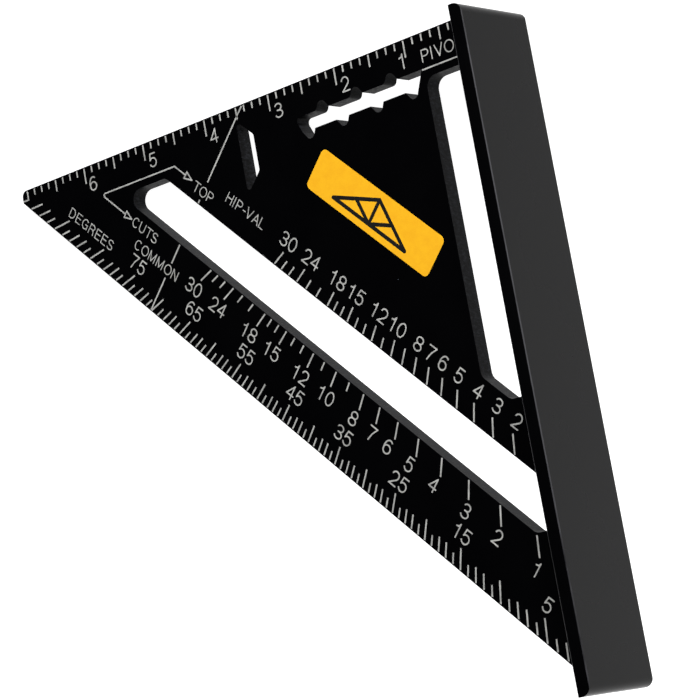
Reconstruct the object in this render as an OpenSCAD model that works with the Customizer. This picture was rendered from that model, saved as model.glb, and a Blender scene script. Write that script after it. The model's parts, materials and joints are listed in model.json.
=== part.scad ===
// Speed square: a 45 degree rafter square with a T-shaped fence.
// Frame, in millimetres: the origin is the pivot corner, where the ruler edge meets the
// fence's bearing face, on the marked face of the blade. +X points out through the fence,
// +Y along the bearing face towards the ruler end, +Z out of the marked face.
// The blade and the fence are one metal part on the real tool. Here the blade's root sits
// in a shallow groove down the fence.

/* [Blade] */
// Length of each leg, from the pivot corner
leg = 183.8; // [181:0.1:188]
// Thickness of the blade
blade_t = 5; // [3:0.5:6]
// Distance from the bearing face to the squared-off tip
tip_u = 180.2; // [178.5:0.1:180.5]
// Radius of the tip's upper corner
tip_r = 2; // [0.5:0.5:3]
// Corner radius of the cutter that made the large slots
cutter_r = 3.3; // [2:0.1:4]
// Depth of the blade's root in the fence's groove
root_l = 1; // [0.5:0.1:1.2]

/* [Fence] */
// Thickness of the fence
fence_t = 4.2; // [3.2:0.1:6]
// Height of the fence's lip above the marked face
front_lip_h = 11.7; // [8:0.1:14]
// Height of the fence's lip on the reverse side
rear_lip_h = 12; // [8:0.1:14]
// How far each end of the fence stands past the blade's edges
fence_over = 0.3; // [0:0.05:0.5]
// Radius of the outer corners at the fence's two ends
fence_end_r = 2.8; // [1:0.1:3]
// Radius along the fence's long outer edges
fence_edge_r = 0.3; // [0.1:0.1:1]
// Radius along the fence's long inner edges
lip_edge_r = 0.3; // [0.1:0.1:0.5]

/* [Slots] */
// Left wall of the slot beside the fence, from the bearing face
grip_left_u = 20; // [18:0.5:21]
// Right wall of the two slots that end beside the fence
slot_right_u = 5; // [4:0.5:7]
// Upper end of the two long slots, from the ruler edge
slot_top_v = 12.5; // [12:0.1:13.5]
// Lower end of the slot beside the fence
grip_bottom_v = 103.8; // [100:0.1:106]
// Height at which that slot's left wall turns towards its lower end
grip_turn_v = 95.7; // [90:0.1:96]
// Inner edge of the diagonal slot, measured square to the hypotenuse
rafter_inner_n = 93.85; // [92:0.05:95]
// Outer edge of the diagonal slot, measured square to the hypotenuse
rafter_outer_n = 107.15; // [105:0.05:108]
// Lower end of the diagonal slot
rafter_bottom_v = 139.8; // [139:0.1:141]
// Width of the small slot under the ruler
small_slot_w = 5.75; // [5:0.05:7]
// Left wall of the small slot
small_slot_u = 89.7; // [88:0.1:92]
// Width of the scribing slot between its notches
scribe_w = 4.6; // [4:0.1:5]
// Middle line of the scribing slot, from the ruler edge
scribe_v = 12.25; // [12:0.05:12.6]
// Depth of each scribing notch
notch_depth = 2.4; // [2:0.1:2.6]
// Radius at the bottom of each scribing notch
notch_r = 1.6; // [1.2:0.1:1.7]

/* [Markings] */
// Thickness of the marking layer
mark_h = 0.05; // [0.02:0.01:0.1]
// Width of the scale ticks
tick_w = 0.5; // [0.3:0.05:0.7]
// Width of the leader and the index line
line_w = 0.42; // [0.3:0.02:0.7]
// Cap height of the scale numerals
numeral_h = 4.4; // [3:0.1:5]
// Cap height of the legends
legend_h = 3.2; // [2.5:0.1:4]
// Clear margin between a tick and the metal's edge
edge_gap = 0.35; // [0.3:0.05:1]

/* [Badge] */
// Length of the coloured badge
badge_l = 51; // [40:1:54]
// Width of the coloured badge
badge_w = 12.4; // [8:0.2:13]
// Corner radius of the badge
badge_r = 1.6; // [0.5:0.1:3]
// Span of the roof emblem on the badge
emblem_l = 30; // [20:1:36]

/* [Hidden] */
$fn = 48;

INCH = 25.4;
METAL = [0.06, 0.06, 0.065];
ETCH = [0.82, 0.82, 0.8];
YELLOW = [0.98, 0.72, 0.1];

// Distance from the pivot corner to the hypotenuse
hyp_n = leg * cos(45);
// The plate is cut a little longer than its thickness
cut_over = 1;

// A place on the blade: u from the bearing face, v from the ruler edge.
function uv(u, v) = [-u, -v];
// A place on the blade: w along the hypotenuse towards the fence, n square to it.
function wn(w, n) = uv((n - w) * cos(45), (n + w) * cos(45));

// ---- Rounded plates ----

function unit(p) = p / norm(p);
function half_angle(p, q, s) = acos(unit(p - q) * unit(s - q)) / 2;
// The two tangent points and the centre of an arc of radius r at corner q.
function corner_from(p, q, s, r) = q + unit(p - q) * r / tan(half_angle(p, q, s));
function corner_to(p, q, s, r) = q + unit(s - q) * r / tan(half_angle(p, q, s));
function corner_centre(p, q, s, r) =
    q + unit(unit(p - q) + unit(s - q)) * r / sin(half_angle(p, q, s));

// A convex plate whose corner i has radius radii[i]; radius 0 stays sharp.
module rounded_plate(points, radii, height) {
    count = len(points);
    function before(i) = points[(i + count - 1) % count];
    function after(i) = points[(i + 1) % count];
    linear_extrude(height)
        polygon([for (i = [0:count - 1]) each
            radii[i] == 0 ? [points[i]] :
            [corner_from(before(i), points[i], after(i), radii[i]),
             corner_to(before(i), points[i], after(i), radii[i])]]);
    for (i = [0:count - 1])
        if (radii[i] > 0)
            translate(corner_centre(before(i), points[i], after(i), radii[i]))
                cylinder(r = radii[i], h = height);
}

// ---- Blade ----

CUT_H = blade_t + 2 * cut_over;

// The right-angled plate, with its root going on into the fence.
module blade_plate() {
    rounded_plate(
        [uv(0, 0), uv(0, leg), uv(tip_u, leg - tip_u), uv(tip_u, 0)],
        [0, 0, 0, tip_r], blade_t);
    translate(uv(0, leg))
        cube([root_l, leg, blade_t]);
}

// The tall slot beside the fence, with a 45 degree lower end.
module grip_slot() {
    bottom_u = grip_left_u + grip_turn_v - grip_bottom_v;
    rounded_plate(
        [uv(slot_right_u, slot_top_v), uv(grip_left_u, slot_top_v),
         uv(grip_left_u, grip_turn_v), uv(bottom_u, grip_bottom_v),
         uv(slot_right_u, grip_bottom_v)],
        [cutter_r, cutter_r, cutter_r, cutter_r, cutter_r], CUT_H);
}

// The long diagonal slot that carries the two rafter scales.
module rafter_slot() {
    inner = rafter_inner_n / cos(45);
    outer = rafter_outer_n / cos(45);
    rounded_plate(
        [uv(inner - slot_top_v, slot_top_v), uv(outer - slot_top_v, slot_top_v),
         uv(outer - rafter_bottom_v, rafter_bottom_v), uv(slot_right_u, rafter_bottom_v),
         uv(slot_right_u, inner - slot_right_u)],
        [cutter_r, cutter_r, cutter_r, cutter_r, cutter_r], CUT_H);
}

// The small slot under the ruler, long on its left wall and short on its right.
module small_slot() {
    middle_v = 15;
    left_half = 11.1;
    left_r = 1;
    right_r = 1.2;
    right_half = left_half - small_slot_w;
    right_u = small_slot_u - small_slot_w;
    rounded_plate(
        [uv(right_u, middle_v - right_half), uv(small_slot_u, middle_v - left_half),
         uv(small_slot_u, middle_v + left_half), uv(right_u, middle_v + right_half)],
        [right_r, left_r, left_r, right_r], CUT_H);
}

// A scribing notch's own numbers, with its mark on the slot's middle line at the origin.
// The fence is on its right, so its near wall is the right one.
far_lean = 37;
near_lean = 24;
// How far its round bottom stands towards the fence
notch_shift = 0.35;
// Walls and rounds cross by this much, so that they never just touch
CROSS_BY = 0.02;
NOTCH_CENTRE = [notch_shift, notch_r - notch_depth - scribe_w / 2];
FAR_FOOT = NOTCH_CENTRE + [-cos(far_lean), -sin(far_lean)] * (notch_r - CROSS_BY);
NEAR_FOOT = NOTCH_CENTRE + [cos(near_lean), -sin(near_lean)] * (notch_r - CROSS_BY);
FAR_MOUTH = [FAR_FOOT[0] + (FAR_FOOT[1] + scribe_w / 2) * tan(far_lean), -scribe_w / 2];
NEAR_MOUTH = [NEAR_FOOT[0] - (NEAR_FOOT[1] + scribe_w / 2) * tan(near_lean), -scribe_w / 2];

// One scribing notch, pointing down from the slot's middle line at the origin:
// a round bottom, with one wall leaning more than the other.
module notch() {
    // How far its straight part goes on into the slot
    inset = 0.4;
    translate(NOTCH_CENTRE)
        cylinder(r = notch_r, h = CUT_H);
    linear_extrude(CUT_H)
        polygon([FAR_FOOT, NEAR_FOOT, NEAR_MOUTH, NEAR_MOUTH + [-inset, inset],
            FAR_MOUTH + [inset, inset], FAR_MOUTH]);
}

// What is cut away to round the blade's corner q, between its walls towards p and s.
module rounded_off(p, q, s, r) {
    // How far past the round the cut reaches, into the open slot
    reach = 1.25;
    centre = corner_centre(p, q, s, r);
    difference() {
        linear_extrude(CUT_H)
            polygon([centre, centre + (corner_from(p, q, s, r) - centre) * reach,
                centre + (q - centre) * reach, centre + (corner_to(p, q, s, r) - centre) * reach]);
        translate([centre[0], centre[1], -cut_over])
            cylinder(r = r + CROSS_BY, h = CUT_H + 2 * cut_over);
    }
}

// The scribing slot: notches each half inch below, and between them above.
module scribe_slot() {
    first = uv(INCH, scribe_v);
    last = uv(2.5 * INCH, scribe_v);
    half = scribe_w / 2;
    // The far end stands this far past its last notch, and bends this far above the middle
    end_past = 3.55;
    end_bend = 0.6;
    end_r = 1.2;
    // Round on the far lip of each upper notch
    lip_r = 1.6;
    rounded_plate(
        [first + [NEAR_MOUTH[0] + CROSS_BY + scribe_w * tan(near_lean), half],
         last + [-end_past, half], last + [-end_past, end_bend],
         last + FAR_MOUTH - [CROSS_BY, 0], first + NEAR_MOUTH + [CROSS_BY, 0]],
        [0, end_r, 0, 0, 0], CUT_H);
    for (inches = [1:0.5:2.5])
        translate(uv(inches * INCH, scribe_v))
            notch();
    for (inches = [1.25:0.5:2.25])
        translate(uv(inches * INCH, scribe_v))
            rotate(180) {
                notch();
                rounded_off(NEAR_MOUTH + [lip_r, 0], NEAR_MOUTH, NEAR_FOOT, lip_r);
            }
}

module blade() {
    color(METAL)
        difference() {
            translate([0, 0, -blade_t])
                blade_plate();
            translate([0, 0, -blade_t - cut_over]) {
                grip_slot();
                rafter_slot();
                small_slot();
                scribe_slot();
            }
        }
}

// ---- Fence ----

FENCE_LOW = -blade_t - rear_lip_h;
FENCE_L = leg + 2 * fence_over;

// A tall bar with rounded long edges, cut to length.
module fence_bar() {
    translate([0, fence_over, 0])
        rotate([90, 0, 0])
            rounded_plate(
                [[0, FENCE_LOW], [fence_t, FENCE_LOW], [fence_t, front_lip_h], [0, front_lip_h]],
                [lip_edge_r, fence_edge_r, fence_edge_r, lip_edge_r], FENCE_L);
}

// The bar's outline from above: its two outer corners are rounded.
module fence_ends() {
    height = front_lip_h - FENCE_LOW + 2 * cut_over;
    translate([0, fence_over, FENCE_LOW - cut_over])
        rounded_plate(
            [[0, 0], [0, -FENCE_L], [fence_t, -FENCE_L], [fence_t, 0]],
            [0, 0, fence_end_r, fence_end_r], height);
}

module fence() {
    color(METAL)
        difference() {
            intersection() {
                fence_bar();
                fence_ends();
            }
            // The groove for the blade's root runs out of both ends
            translate([-cut_over, -leg - fence_over - cut_over, -blade_t])
                cube([root_l + cut_over, FENCE_L + 2 * cut_over, blade_t]);
        }
}

// ---- Drawing strokes ----

// A bar of the pen's width between two points.
module bar(p, q, width) {
    run = q - p;
    translate(p)
        rotate(atan2(run[1], run[0]))
            translate([0, -width / 2, 0])
                cube([norm(run), width, mark_h]);
}

module dot(p, width) {
    translate(p)
        cylinder(d = width, h = mark_h);
}

// A run of bars with round joints and ends, a shade wider than the bars so that
// they cross the bars' sides.
module stroke(points, width) {
    overlap = 0.03;
    for (i = [1:len(points) - 1])
        bar(points[i - 1], points[i], width);
    for (p = points)
        dot(p, width + overlap);
}

// A tick from the pivot corner outwards at an angle from the fence, between two
// distances that are measured square to the hypotenuse.
module radial_tick(angle, n_from, n_to) {
    lean = cos(45 - angle);
    rotate(-90 - angle)
        translate([n_from / lean, -tick_w / 2, 0])
            cube([(n_to - n_from) / lean, tick_w, mark_h]);
}

// ---- Lettering ----
// Letters are drawn on a grid whose cap height is 10 units, 1 unit of it the pen.
// $unit is the size of one unit in millimetres.

PEN = 0.95;

module pen(points) {
    stroke([for (p = points) p * $unit], PEN * $unit);
}

// The place on an ellipse, w wide and h high, where its outward direction is `a`.
function oval_at(w, h, a) =
    [w * w * cos(a), h * h * sin(a)] / (2 * norm([w * cos(a), h * sin(a)]));

// Part of an oval line, w wide and h high, between two outward directions.
module bow(cx, cy, w, h, from, to) {
    pieces = ceil((to - from) / 18);
    closed = to - from == 360;
    function edge(side) = [for (i = [0:pieces - (closed ? 1 : 0)])
        let (a = from + (to - from) * i / pieces)
        ([cx, cy] + oval_at(w, h, a) + side * PEN / 2 * [cos(a), sin(a)]) * $unit];
    outer = edge(1);
    inner = edge(-1);
    count = len(outer);
    first = [for (i = [0:count - 1]) i];
    second = [for (i = [0:count - 1]) 2 * count - 1 - i];
    linear_extrude(mark_h)
        polygon([each outer, each inner], closed ? [first, second] : [[each first, each second]]);
}

// Width that each letter takes up, in units.
function advance(c) =
    c == "I" ? 3.9 :
    c == "-" ? 4.7 :
    c == "L" ? 7.8 :
    c == "T" ? 8.5 :
    c == "C" || c == "D" || c == "H" || c == "N" || c == "R" || c == "U" ? 10.1 :
    c == "G" || c == "O" ? 10.9 :
    c == "M" ? 11.6 :
    c == "A" || c == "E" || c == "P" || c == "S" || c == "V" ? 9.3 :
    8.1;

function text_width(word, end) = end == 0 ? 0 : advance(word[end - 1]) + text_width(word, end - 1);

module glyph(c) {
    if (c == "0") bow(3.05, 4.5, 6, 9, 0, 360);
    if (c == "1") pen([[1.2, 6.9], [2.9, 7.3], [3.8, 9], [3.8, 0]]);
    if (c == "2") {
        bow(3, 6.2, 5.6, 5.6, -45, 170);
        pen([[4.98, 4.22], [0.1, 0], [5.9, 0]]);
    }
    if (c == "3") {
        bow(2.9, 6.8, 5.3, 4.4, -90, 160);
        bow(3, 2.3, 6, 4.6, -160, 90);
        pen([[2, 4.6], [3, 4.6]]);
    }
    if (c == "4") pen([[6.2, 2.5], [0, 2.5], [4.6, 9], [4.6, 0]]);
    if (c == "5") {
        pen([[5.5, 9], [1.2, 9], [0.55, 4.7]]);
        bow(3, 2.95, 6, 5.9, -160, 142);
    }
    if (c == "6") {
        bow(3.05, 2.8, 5.8, 5.6, 0, 360);
        bow(3.3, 4.5, 6.6, 9, 42, 205);
    }
    if (c == "7") pen([[0, 9], [6, 9], [3.4, 4.6], [2.2, 0]]);
    if (c == "8") {
        bow(3, 6.75, 5.2, 4.5, 0, 360);
        bow(3, 2.35, 6, 4.7, 0, 360);
    }
    if (c == "A") {
        pen([[0, 0], [3.6, 9], [7.2, 0]]);
        pen([[1.2, 3], [6, 3]]);
    }
    if (c == "C") bow(3.8, 4.5, 7.5, 9, 38, 322);
    if (c == "D") {
        pen([[3, 9], [0, 9], [0, 0], [3, 0]]);
        bow(3, 4.5, 7.4, 9, -90, 90);
    }
    if (c == "E") {
        pen([[6, 9], [0, 9], [0, 0], [6.1, 0]]);
        pen([[0, 4.7], [5.6, 4.7]]);
    }
    if (c == "G") {
        bow(3.9, 4.5, 7.8, 9, 38, 318);
        pen([[7.3, 0.3], [7.3, 4.3], [4.3, 4.3]]);
    }
    if (c == "H") {
        pen([[0, 0], [0, 9]]);
        pen([[6.8, 0], [6.8, 9]]);
        pen([[0, 4.7], [6.8, 4.7]]);
    }
    if (c == "I") pen([[0, 0], [0, 9]]);
    if (c == "L") pen([[0, 9], [0, 0], [5.2, 0]]);
    if (c == "M") pen([[0, 0], [0, 9], [4, 0.4], [8, 9], [8, 0]]);
    if (c == "N") pen([[0, 0], [0, 9], [6.7, 0], [6.7, 9]]);
    if (c == "O") bow(4.1, 4.5, 8.4, 9, 0, 360);
    if (c == "P") {
        pen([[3.6, 4.2], [0, 4.2]]);
        pen([[3.6, 9], [0, 9], [0, 0]]);
        bow(3.6, 6.6, 5.2, 4.8, -90, 90);
    }
    if (c == "R") {
        pen([[3.7, 4.5], [0, 4.5]]);
        pen([[3.7, 9], [0, 9], [0, 0]]);
        bow(3.7, 6.75, 5.4, 4.5, -90, 90);
        pen([[3.7, 4.5], [5.7, 3.6], [6.6, 0]]);
    }
    if (c == "S") {
        bow(3.2, 6.75, 6, 4.5, 25, 270);
        bow(3.2, 2.25, 6.6, 4.5, -155, 90);
        pen([[2.8, 4.5], [3.6, 4.5]]);
    }
    if (c == "T") {
        pen([[-0.5, 9], [6.5, 9]]);
        pen([[3, 9], [3, 0]]);
    }
    if (c == "U") {
        pen([[0, 9], [0, 3.3]]);
        pen([[6.6, 9], [6.6, 3.3]]);
        bow(3.3, 3.3, 6.6, 6.6, 180, 360);
    }
    if (c == "V") pen([[-0.2, 9], [3.4, 0], [7, 9]]);
    if (c == "-") pen([[0, 3.6], [2.6, 3.6]]);
}

// A word whose baseline starts at the origin.
module word(text, height) {
    $unit = height / 10;
    side_bearing = 1.1;
    for (i = [0:len(text) - 1])
        translate([(text_width(text, i) + side_bearing) * $unit, PEN / 2 * $unit])
            glyph(text[i]);
}

// A number centred on the origin.
module numeral(value, height) {
    text = str(value);
    translate([-text_width(text, len(text)) * height / 20, 0])
        word(text, height);
}

// Lettering whose baseline runs along the hypotenuse, at (w, n) on the blade.
module along_hyp(w, n) {
    translate(wn(w, n))
        rotate(-45)
            children();
}

// ---- Ruler ----

RULER_INCHES = 7;
EIGHTH_L = 2.3;
HALF_L = 3.9;
INCH_L = 5.15;

module inch_ticks() {
    for (eighth = [1:RULER_INCHES * 8 - 1]) {
        length = eighth % 8 == 0 ? INCH_L : eighth % 4 == 0 ? HALF_L : EIGHTH_L;
        translate(uv(eighth / 8 * INCH + tick_w / 2, length))
            cube([tick_w, length - edge_gap, mark_h]);
    }
}

module inch_scale_ticks() {
    // The seven inch mark closes a small box at the tip
    last_l = 3.35;
    color(ETCH) {
        inch_ticks();
        translate(uv(RULER_INCHES * INCH + tick_w / 2, last_l))
            cube([tick_w, last_l - edge_gap, mark_h]);
    }
}

// Each numeral's inch mark, and how far from that mark its left side stands.
INCH_LABELS = [[1, -3.3], [2, 1.3], [3, 1.35], [4, 1.05], [5, 1.2], [6, 1.05]];

module inch_scale_numerals() {
    baseline_v = 8;
    color(ETCH)
        for (label = INCH_LABELS)
            translate(uv(label[0] * INCH - label[1], baseline_v))
                word(str(label[0]), numeral_h);
}

// ---- Degree scale along the hypotenuse ----

FIVE_N = 124.5;
MIDDLE_N = 126;
SHORT_N = 127;
DEGREE_BASE_N = 123.3;

module degree_ticks() {
    for (angle = [1:88]) {
        past_five = angle % 5;
        start = past_five == 0 ? FIVE_N : past_five == 1 || past_five == 4 ? SHORT_N : MIDDLE_N;
        radial_tick(angle, start, hyp_n - edge_gap);
    }
}

module degree_scale_ticks() {
    // The last tick stops at the seven inch mark
    last = 89;
    last_from_n = RULER_INCHES * INCH * cos(45 - last) / sin(last);
    color(ETCH) {
        degree_ticks();
        radial_tick(last, last_from_n, hyp_n - edge_gap);
    }
}

// Each numeral's angle, and how far its middle stands from its tick's inner end.
DEGREE_LABELS = [[5, -1], [15, -1.8], [25, -0.7], [35, -0.7], [45, 0.2], [55, 0.2],
    [65, -0.4], [75, -0.6]];

module degree_scale_numerals() {
    color(ETCH)
        for (label = DEGREE_LABELS)
            along_hyp(FIVE_N * tan(45 - label[0]) + label[1], DEGREE_BASE_N)
                numeral(label[0], numeral_h);
}

// ---- Rafter scales beside the diagonal slot ----

LABELLED = [30, 24, 18, 15, 12, 10, 8, 7, 6, 5, 4, 3, 2];
UNLABELLED = [28, 26, 22, 20, 17, 16, 14, 13, 11];
// A common rafter's run is 12 and a hip rafter's is 12 times the root of 2
COMMON_RUN = 12;
HIP_RUN = 12 * sqrt(2);
function rafter_angle(rise, run) = atan2(rise, run);

module common_scale_ticks() {
    long_n = 112.1;
    short_n = 110.1;
    start_n = rafter_outer_n + edge_gap;
    color(ETCH) {
        for (rise = [each LABELLED, 1])
            radial_tick(rafter_angle(rise, COMMON_RUN), start_n, long_n);
        for (rise = [each UNLABELLED, 9])
            radial_tick(rafter_angle(rise, COMMON_RUN), start_n, short_n);
    }
}

// Each numeral's rise, and how far its middle stands from its tick's outer end.
COMMON_LABELS = [[30, -1.4], [24, -0.9], [18, -1.7], [15, -1.5], [12, -1.2], [10, -0.3],
    [8, -0.6], [7, 0.1], [6, -1.1], [5, -1], [4, -1], [3, 0.8], [2, 0.5], [1, 0.8]];

module common_scale_numerals() {
    tick_end_n = 112.1;
    baseline_n = 117.4;
    color(ETCH)
        for (label = COMMON_LABELS)
            along_hyp(
                tick_end_n * tan(45 - rafter_angle(label[0], COMMON_RUN)) + label[1],
                baseline_n)
                numeral(label[0], numeral_h);
}

module hip_val_scale_ticks() {
    long_n = 89.1;
    short_n = 90.6;
    end_n = rafter_inner_n - edge_gap;
    color(ETCH) {
        for (rise = [each LABELLED, 9])
            radial_tick(rafter_angle(rise, HIP_RUN), long_n, end_n);
        for (rise = UNLABELLED)
            radial_tick(rafter_angle(rise, HIP_RUN), short_n, end_n);
    }
}

HIP_VAL_LABELS = [[30, 0.1], [24, 0.6], [18, -0.7], [15, -1], [12, -1.1], [10, -1.2],
    [8, -1.3], [7, -1.5], [6, -1.9], [5, -1.5], [4, -0.5], [3, -0.1], [2, -0.5]];

module hip_val_scale_numerals() {
    tick_end_n = 89.1;
    baseline_n = 87.75;
    color(ETCH)
        for (label = HIP_VAL_LABELS)
            along_hyp(
                tick_end_n * tan(45 - rafter_angle(label[0], HIP_RUN)) + label[1],
                baseline_n)
                numeral(label[0], numeral_h);
}

// ---- Legends ----

module degrees_legend() {
    color(ETCH)
        along_hyp(-105.85, 123.5)
            word("DEGREES", legend_h);
}

module common_legend() {
    color(ETCH)
        along_hyp(-76.95, 117.75)
            word("COMMON", legend_h);
}

module hip_val_legend() {
    color(ETCH)
        along_hyp(-52.15, 87.85)
            word("HIP-VAL", legend_h);
}

module top_cuts_legends() {
    color(ETCH) {
        along_hyp(-65.15, 91.45)
            word("TOP", legend_h);
        along_hyp(-81.3, 112.55)
            word("CUTS", legend_h);
    }
}

// The pivot corner's legend, with a line under it that stops short of the lip.
module pivot_legend() {
    height = 3.6;
    line_v = 10.2;
    color(ETCH) {
        translate(uv(20.3, 8.3))
            word("PIVOT", height);
        bar(uv(20.7, line_v), uv(3, line_v), line_w);
    }
}

// A line that runs beside the ruler and turns towards each legend, with an open arrow
// at each end.
module top_cuts_leader() {
    line_v = 10.1;
    turn_r = 0.6;
    top_n = 89.1;
    top_tip_w = -66.6;
    cuts_n = 110.95;
    cuts_tip_w = -81.9;
    arrow_l = 3;
    arrow_half = 1.05;
    top_end = wn(top_tip_w - arrow_l, top_n);
    top_turn = uv(top_n / cos(45) - line_v, line_v);
    cuts_turn = uv(cuts_n / cos(45) - line_v, line_v);
    cuts_end = wn(cuts_tip_w - arrow_l, cuts_n);
    middle = corner_centre(top_turn, cuts_turn, cuts_end, turn_r);
    color(ETCH) {
        for (tip = [[top_tip_w, top_n], [cuts_tip_w, cuts_n]])
            along_hyp(tip[0], tip[1])
                stroke([[0, 0], [-arrow_l, arrow_half], [-arrow_l, -arrow_half], [0, 0]], line_w);
        stroke([top_end, top_turn, corner_from(top_turn, cuts_turn, cuts_end, turn_r),
            middle + unit(cuts_turn - middle) * turn_r,
            corner_to(top_turn, cuts_turn, cuts_end, turn_r), cuts_end], line_w);
    }
}

// The line square to the hypotenuse that marks the rafter cuts, broken for the legends.
module rafter_index_line() {
    index_w = -60.8;
    ruler_n = -index_w + edge_gap * 2;
    breaks = [[ruler_n, 86.6], [92.4, rafter_inner_n - edge_gap],
        [rafter_outer_n + edge_gap, 113.8], [118.7, hyp_n - edge_gap]];
    color(ETCH)
        for (piece = breaks)
            bar(wn(index_w, piece[0]), wn(index_w, piece[1]), tick_w);
}

// ---- Badge ----

BADGE_W = -1.8;
BADGE_N = 62.9;

module badge_panel() {
    color(YELLOW)
        along_hyp(BADGE_W, BADGE_N)
            rounded_plate(
                [for (corner = [[-1, -1], [1, -1], [1, 1], [-1, 1]])
                    [corner[0] * badge_l / 2, corner[1] * badge_w / 2]],
                [badge_r, badge_r, badge_r, badge_r], mark_h);
}

// A plain roof truss: a tie beam, two rafters, a post and two struts.
module badge_emblem() {
    beam = 1.1;
    rise = 7.6;
    half = emblem_l / 2;
    color(METAL)
        translate([0, 0, mark_h])
            along_hyp(BADGE_W, BADGE_N)
                translate([0, -rise / 2]) {
                    stroke([[-half, 0], [half, 0], [0, rise], [-half, 0]], beam);
                    bar([0, 0], [0, rise - beam / 2], beam);
                    for (side = [-1, 1])
                        bar([0, 0], [side * half / 2, rise / 2], beam);
                }
}

// ---- Reverse face ----

// Moves what its children draw on the marked face to the reverse face, mirrored.
module on_reverse() {
    translate([0, 0, -blade_t])
        mirror([0, 0, 1])
            children();
}

module rear_inch_scale_ticks() {
    color(ETCH)
        on_reverse()
            inch_ticks();
}

module rear_inch_scale_numerals() {
    baseline_v = 8;
    color(ETCH)
        on_reverse()
            for (inches = [1:RULER_INCHES - 1])
                translate(uv(inches * INCH, baseline_v))
                    mirror([1, 0, 0])
                        translate([0.55, 0, 0])
                            word(str(inches), numeral_h);
}

module rear_degree_scale_ticks() {
    color(ETCH)
        on_reverse()
            degree_ticks();
}

module rear_degree_scale_numerals() {
    color(ETCH)
        on_reverse()
            for (angle = [10:10:80])
                along_hyp(FIVE_N * tan(45 - angle), DEGREE_BASE_N)
                    mirror([1, 0, 0])
                        numeral(angle, numeral_h);
}

blade();
fence();
inch_scale_ticks();
inch_scale_numerals();
degree_scale_ticks();
degree_scale_numerals();
common_scale_ticks();
common_scale_numerals();
hip_val_scale_ticks();
hip_val_scale_numerals();
degrees_legend();
common_legend();
hip_val_legend();
top_cuts_legends();
pivot_legend();
top_cuts_leader();
rafter_index_line();
badge_panel();
badge_emblem();
rear_inch_scale_ticks();
rear_inch_scale_numerals();
rear_degree_scale_ticks();
rear_degree_scale_numerals();
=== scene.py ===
import json
import math

import bpy
from mathutils import Matrix, Vector


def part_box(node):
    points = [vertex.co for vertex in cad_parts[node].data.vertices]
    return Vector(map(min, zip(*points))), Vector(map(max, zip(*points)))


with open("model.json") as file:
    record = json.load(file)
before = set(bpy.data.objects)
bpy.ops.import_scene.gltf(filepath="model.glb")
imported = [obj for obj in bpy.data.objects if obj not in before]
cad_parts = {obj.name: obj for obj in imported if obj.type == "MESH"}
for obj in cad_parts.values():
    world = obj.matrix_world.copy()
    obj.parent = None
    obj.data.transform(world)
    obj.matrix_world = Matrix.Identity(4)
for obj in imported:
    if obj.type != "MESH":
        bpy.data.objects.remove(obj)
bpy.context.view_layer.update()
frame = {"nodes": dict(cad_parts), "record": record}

NODES = frame["nodes"]
SLOT_OF = {part["node"]: part["material_slot"] for part in frame["record"]["subparts"]}
MM = 0.001
BROKEN_EDGE = 0.15 * MM
FLOOR_GAP = 0.05 * MM


# ---- Shader helpers ----

def linear(red, green, blue):
    """A colour given as 8-bit sRGB levels, as the shader wants it."""
    def channel(level):
        c = level / 255
        return c / 12.92 if c <= 0.04045 else ((c + 0.055) / 1.055) ** 2.4
    return (channel(red), channel(green), channel(blue), 1.0)


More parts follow.
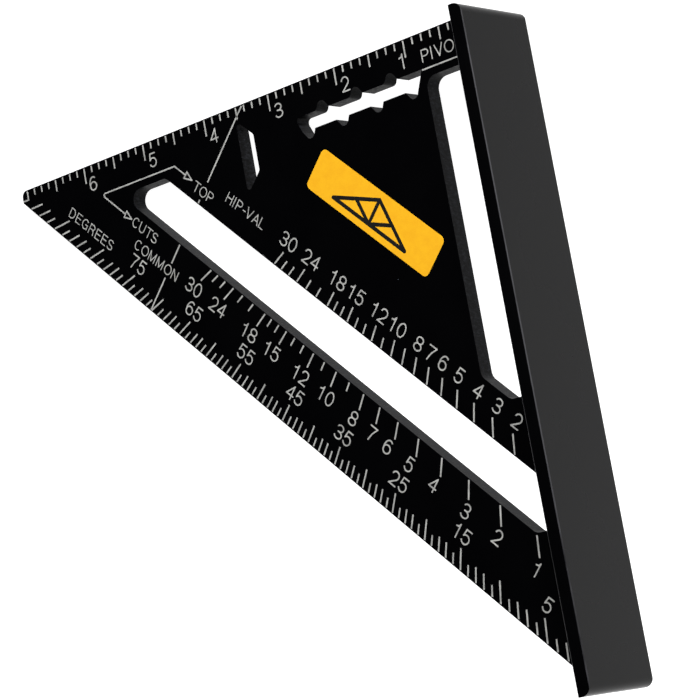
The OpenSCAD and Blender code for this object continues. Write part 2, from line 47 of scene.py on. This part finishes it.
class Shader:
    """A material's node tree, built one node at a time."""

    def __init__(self, name):
        self.material = bpy.data.materials.new(name)
        self.material.use_nodes = True
        self.tree = self.material.node_tree
        self.bsdf = self.tree.nodes["Principled BSDF"]
        self.place = self.add("ShaderNodeTexCoord").outputs["Object"]

    def add(self, kind, **settings):
        node = self.tree.nodes.new(kind)
        for key, value in settings.items():
            setattr(node, key, value)
        return node

    def put(self, socket, value):
        """Links value into socket if it is another socket, or else sets it there."""
        if isinstance(value, bpy.types.NodeSocket):
            self.tree.links.new(value, socket)
        else:
            socket.default_value = value

    def set(self, **values):
        """Sets the surface's own inputs: base_color=..., roughness=... and so on."""
        for key, value in values.items():
            self.put(self.bsdf.inputs[key.replace("_", " ").title().replace("Ior", "IOR")], value)

    def math(self, operation, a, b=0.0):
        node = self.add("ShaderNodeMath", operation=operation)
        self.put(node.inputs[0], a)
        self.put(node.inputs[1], b)
        return node.outputs[0]

    def stretched(self, scale):
        """The place on the surface, scaled along x, y and z, so that noise there is drawn out."""
        node = self.add("ShaderNodeMapping")
        self.put(node.inputs["Vector"], self.place)
        node.inputs["Scale"].default_value = scale
        return node.outputs[0]

    def noise(self, size, detail=3.0, roughness=0.5, vector=None):
        """Noise from 0 to 1 whose blobs are about size across, in metres."""
        node = self.add("ShaderNodeTexNoise")
        self.put(node.inputs["Vector"], vector or self.place)
        node.inputs["Scale"].default_value = 1 / size
        node.inputs["Detail"].default_value = detail
        node.inputs["Roughness"].default_value = roughness
        return node.outputs["Fac"]

    def ramp(self, value, low, high, start=0.0, end=1.0):
        """Runs smoothly from start to end while value goes from low to high."""
        node = self.add("ShaderNodeMapRange", interpolation_type="SMOOTHSTEP")
        self.put(node.inputs["Value"], value)
        node.inputs["From Min"].default_value = low
        node.inputs["From Max"].default_value = high
        node.inputs["To Min"].default_value = start
        node.inputs["To Max"].default_value = end
        return node.outputs["Result"]

    def mix(self, share, a, b, kind="RGBA"):
        """a where share is 0 and b where it is 1: two colours, or with kind FLOAT two numbers."""
        node = self.add("ShaderNodeMix", data_type=kind)
        self.put(node.inputs["Factor"], share)
        self.put(node.inputs["A"], a)
        self.put(node.inputs["B"], b)
        return node.outputs["Result"]

    def specks(self, spacing, size, share):
        """1 on small round specks, spacing apart on average, of which only a share show."""
        node = self.add("ShaderNodeTexVoronoi")
        self.put(node.inputs["Vector"], self.place)
        node.inputs["Scale"].default_value = 1 / spacing
        near = self.ramp(node.outputs["Distance"], size / spacing, 0.6 * size / spacing)
        chosen = self.math("LESS_THAN", self.separate(node.outputs["Color"])[0], share)
        return self.math("MULTIPLY", near, chosen)

    def separate(self, vector):
        """The x, y and z of a vector, as three sockets."""
        node = self.add("ShaderNodeSeparateXYZ")
        self.put(node.inputs[0], vector)
        return node.outputs

    def flatness(self):
        """0 on the faces that stand upright, 1 on those that face straight up or down."""
        up = self.separate(self.add("ShaderNodeNewGeometry").outputs["True Normal"])[2]
        return self.math("ABSOLUTE", up)

    def on_walls(self):
        """1 on the walls of the slots and the outline, 0 on the flat faces of the blade."""
        return self.math("LESS_THAN", self.flatness(), 0.5)

    def on_edges(self):
        """1 on the small rounds along the edges of the flat faces."""
        flatness = self.flatness()
        return self.math("MULTIPLY", self.math("GREATER_THAN", flatness, 0.15),
                         self.math("LESS_THAN", flatness, 0.98))

    def bump(self, height, distance):
        """Relief on the surface, distance high in metres where height is 1."""
        node = self.add("ShaderNodeBump")
        self.put(node.inputs["Height"], height)
        node.inputs["Distance"].default_value = distance
        node.inputs["Strength"].default_value = 1.0
        self.put(self.bsdf.inputs["Normal"], node.outputs[0])


# ---- Materials ----

def anodised(name, ior, edge, milled_walls):
    """Satin black anodised aluminium with a little dust, a painted highlight in patches on the
    rounds along its edges in the edge colour, and coarser walls where it is milled, with painted
    glints."""
    shader = Shader(name)
    cloud = shader.noise(25 * MM, detail=4)
    grain = shader.noise(0.35 * MM, detail=2)
    dust = shader.math("MAXIMUM", shader.specks(9 * MM, 0.14 * MM, 0.4),
                       shader.specks(23 * MM, 0.22 * MM, 0.5))
    colour = shader.mix(cloud, linear(2, 2, 3), linear(5, 5, 6))
    roughness = shader.ramp(cloud, 0.3, 0.7, 0.24, 0.32)
    relief = grain
    if milled_walls:
        wall = shader.on_walls()
        cutter = shader.noise(0.8 * MM, detail=6, roughness=0.7,
                              vector=shader.stretched((1, 1, 0.5)))
        # The light flecks on the walls are painted glints; the cutter noise also gives the walls
        # real roughness and relief
        glint_flecks = shader.ramp(cutter, 0.42, 0.75)
        colour = shader.mix(wall, colour, shader.mix(glint_flecks, linear(2, 2, 3), linear(42, 43, 47)))
        rough_wall = shader.ramp(cutter, 0.3, 0.7, 0.36, 0.6)
        roughness = shader.mix(wall, roughness, rough_wall, "FLOAT")
        coarse = shader.math("MULTIPLY", cutter, shader.math("MULTIPLY", wall, 8.0))
        relief = shader.math("ADD", grain, coarse)
    # Painted highlight: the rounds along the edges are lightened towards the edge colour, in
    # patches that come and go along the edge
    edge_highlight_patches = shader.ramp(shader.noise(30 * MM, detail=5, roughness=0.6), 0.35, 0.6, 0.2, 1.0)
    colour = shader.mix(shader.math("MULTIPLY", shader.on_edges(), edge_highlight_patches), colour, edge)
    shader.set(base_color=shader.mix(dust, colour, linear(110, 120, 135)),
               roughness=roughness, ior=ior)
    shader.bump(relief, 0.012 * MM)
    return shader.material


def marking(name, colour, worn, roughness):
    """A thin layer, a little uneven, as a laser or a printing pad leaves it."""
    shader = Shader(name)
    patches = shader.noise(3 * MM, detail=5, roughness=0.6)
    grain = shader.noise(0.25 * MM, detail=2)
    wear = shader.ramp(shader.math("ADD", patches, shader.math("MULTIPLY", grain, 0.5)), 0.55, 1.0)
    shader.set(base_color=shader.mix(wear, colour, worn), roughness=roughness, ior=1.45)
    shader.bump(grain, 0.01 * MM)
    return shader.material


# The third colour of each anodised finish is its painted highlight on the edge rounds
MATERIALS = {
    "blade": anodised("anodised_blade", 1.14, linear(40, 41, 44), milled_walls=True),
    "fence": anodised("anodised_fence", 1.19, linear(66, 66, 69), milled_walls=False),
    "etched_mark": marking("etched_mark", linear(192, 192, 188), linear(150, 150, 148), 0.6),
    "badge_yellow": marking("badge_yellow", linear(255, 190, 28), linear(250, 180, 24), 0.5),
    "badge_black": marking("badge_black", linear(12, 12, 12), linear(22, 22, 22), 0.5),
}


def paint_nodes():
    for name, node in NODES.items():
        node.data.materials.clear()
        node.data.materials.append(MATERIALS.get(name) or MATERIALS[SLOT_OF[name]])


# ---- Broken edges ----

def break_edges(node, width):
    """Gives the machined blade's sharp edges a small round that catches the light. The fence's
    edges are already round in the CAD model."""
    weld = node.modifiers.new("join_faces", "WELD")
    weld.merge_threshold = 0.001 * MM
    flat = node.modifiers.new("merge_flats", "DECIMATE")
    flat.decimate_type = "DISSOLVE"
    flat.angle_limit = math.radians(1)
    bevel = node.modifiers.new("broken_edges", "BEVEL")
    bevel.width = width
    bevel.segments = 2
    bevel.limit_method = "ANGLE"
    bevel.angle_limit = math.radians(40)
    smooth = node.modifiers.new("smooth_rounds", "WEIGHTED_NORMAL")
    smooth.mode = "FACE_AREA"
    smooth.weight = 50


# ---- Stage ----

def make_floor():
    """A pale floor under the square as it lies: on the fence's lower edge and on the tip."""
    fence_low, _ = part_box("fence")
    blade_low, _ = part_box("blade")
    slope = math.atan2(blade_low.z - fence_low.z, -blade_low.x)
    half = 4.0
    corners = [(-half, -half, 0), (half, -half, 0), (half, half, 0), (-half, half, 0)]
    mesh = bpy.data.meshes.new("floor")
    mesh.from_pydata(corners, [], [(0, 1, 2, 3)])
    floor = bpy.data.objects.new("floor", mesh)
    bpy.context.scene.collection.objects.link(floor)
    floor.location = (0, 0, fence_low.z - FLOOR_GAP)
    floor.rotation_euler = (0, slope, 0)
    shader = Shader("floor")
    # It glows a little more beyond the fence's lower end, where the fence's face reflects it
    along = shader.separate(shader.place)[1]
    glow = shader.ramp(along, -0.25, 0.05, 1.45, 0.95)
    shader.set(base_color=linear(149, 149, 149), roughness=0.8,
               emission_color=(1, 1, 1, 1), emission_strength=glow)
    mesh.materials.append(shader.material)


def soft_light(name, position, target, size, power):
    """A square soft box at position, turned to target."""
    data = bpy.data.lights.new(name, "AREA")
    data.size = size
    data.energy = power
    lamp = bpy.data.objects.new(name, data)
    bpy.context.scene.collection.objects.link(lamp)
    lamp.location = position
    lamp.rotation_euler = (Vector(target) - Vector(position)).to_track_quat("-Z", "Y").to_euler()


def make_lights():
    middle = (-0.06, -0.08, 0)
    soft_light("key", (0.45, 0.75, 1.0), middle, size=0.8, power=24)
    soft_light("side", (1.05, 0.25, 0.85), middle, size=0.3, power=6)


def make_room():
    """A studio with pale walls to a little above the horizon, and a dark ceiling."""
    world = bpy.data.worlds.new("room")
    bpy.context.scene.world = world
    world.use_nodes = True
    nodes, links = world.node_tree.nodes, world.node_tree.links
    place = nodes.new("ShaderNodeTexCoord")
    split = nodes.new("ShaderNodeSeparateXYZ")
    links.new(place.outputs["Generated"], split.inputs[0])
    height = nodes.new("ShaderNodeMapRange")
    height.interpolation_type = "SMOOTHSTEP"
    height.inputs["From Min"].default_value = 0.15
    height.inputs["From Max"].default_value = 0.45
    height.inputs["To Min"].default_value = 0.9
    height.inputs["To Max"].default_value = 0.02
    links.new(split.outputs["Z"], height.inputs["Value"])
    links.new(height.outputs["Result"], nodes["Background"].inputs["Strength"])


# ---- Camera ----
# Where the viewer stands, in the square's own frame, and how far the view is turned:
# its right-hand, upward and backward directions.
CAMERA_AT = Vector((0.41443, -0.19684, 0.58485))
CAMERA_RIGHT = Vector((0.74519, -0.17461, -0.64359))
CAMERA_BACK = Vector((0.6246, -0.15533, 0.76534))
SENSOR = 36.0
LENS = 141.85


def make_camera():
    data = bpy.data.cameras.new("camera")
    data.sensor_width = SENSOR
    data.lens = LENS
    camera = bpy.data.objects.new("camera", data)
    back = CAMERA_BACK.normalized()
    up = back.cross(CAMERA_RIGHT).normalized()
    right = up.cross(back)
    turn = Matrix((right, up, back)).transposed().to_4x4()
    camera.matrix_world = Matrix.Translation(CAMERA_AT) @ turn
    bpy.context.scene.collection.objects.link(camera)
    bpy.context.scene.camera = camera
    bpy.context.scene.view_settings.view_transform = "Standard"


make_camera()
paint_nodes()
break_edges(NODES["blade"], BROKEN_EDGE)
make_floor()
make_lights()
make_room()

bpy.context.view_layer.update()
